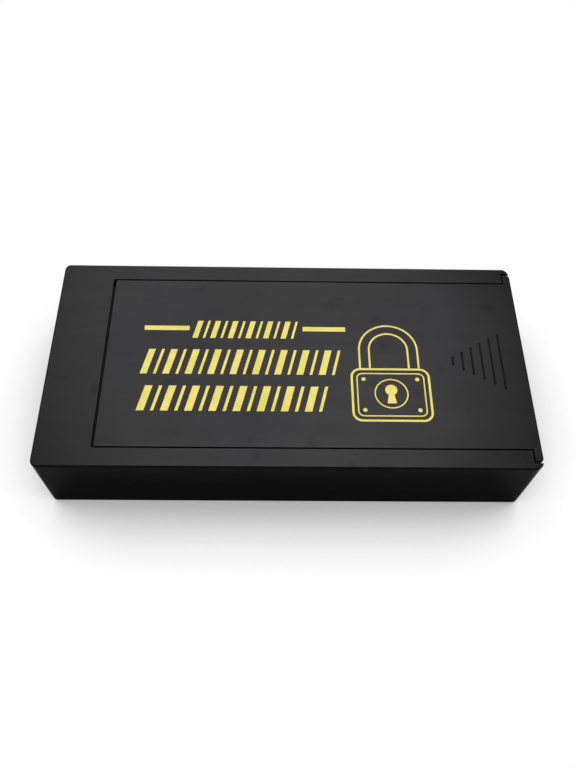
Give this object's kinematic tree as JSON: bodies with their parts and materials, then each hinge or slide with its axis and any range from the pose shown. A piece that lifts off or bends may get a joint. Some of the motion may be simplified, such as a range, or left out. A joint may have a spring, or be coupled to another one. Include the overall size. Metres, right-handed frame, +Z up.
{
  "type": "magnetic key holder box",
  "caption": "Flat black moulded key box with a lid that slides off one end in grooves, and magnet blocks between steel pole plates bonded into its base.",
  "frame": {"origin": "under the middle of the box, on the plane of the pole plates' edges, which is the plane it rests on", "axes": "+X along the length, the way the lid slides open; +Y across the width, to the rear; +Z up through the lid"},
  "size_m": [0.14, 0.07, 0.0258],
  "materials": {
    "case_plastic": "black moulded styrene, satin gloss",
    "lid_plastic": "black moulded styrene, glossier than the case",
    "ferrite": "pressed and sintered, dark grey, matt",
    "pole_steel": "zinc-plated strip steel",
    "adhesive": "cured potting glue, dull and slightly translucent",
    "printing_ink": "yellow pad-printed ink on the lid's top face"
  },
  "bodies": {
    "case": {"case_shell": "case_plastic", "magnet_block_left": "ferrite", "magnet_block_right": "ferrite", "pole_plate_left_front": "pole_steel", "pole_plate_left_rear": "pole_steel", "pole_plate_right_front": "pole_steel", "pole_plate_right_rear": "pole_steel", "magnet_adhesive_left": "adhesive", "magnet_adhesive_right": "adhesive"},
    "lid": {"sliding_lid": "lid_plastic"}
  },
  "joints": [
    {"name": "lid_slide", "type": "slide", "parent": "case", "child": "lid", "axis": [1, 0, 0], "range_m": [0, 0.13]}
  ]
}
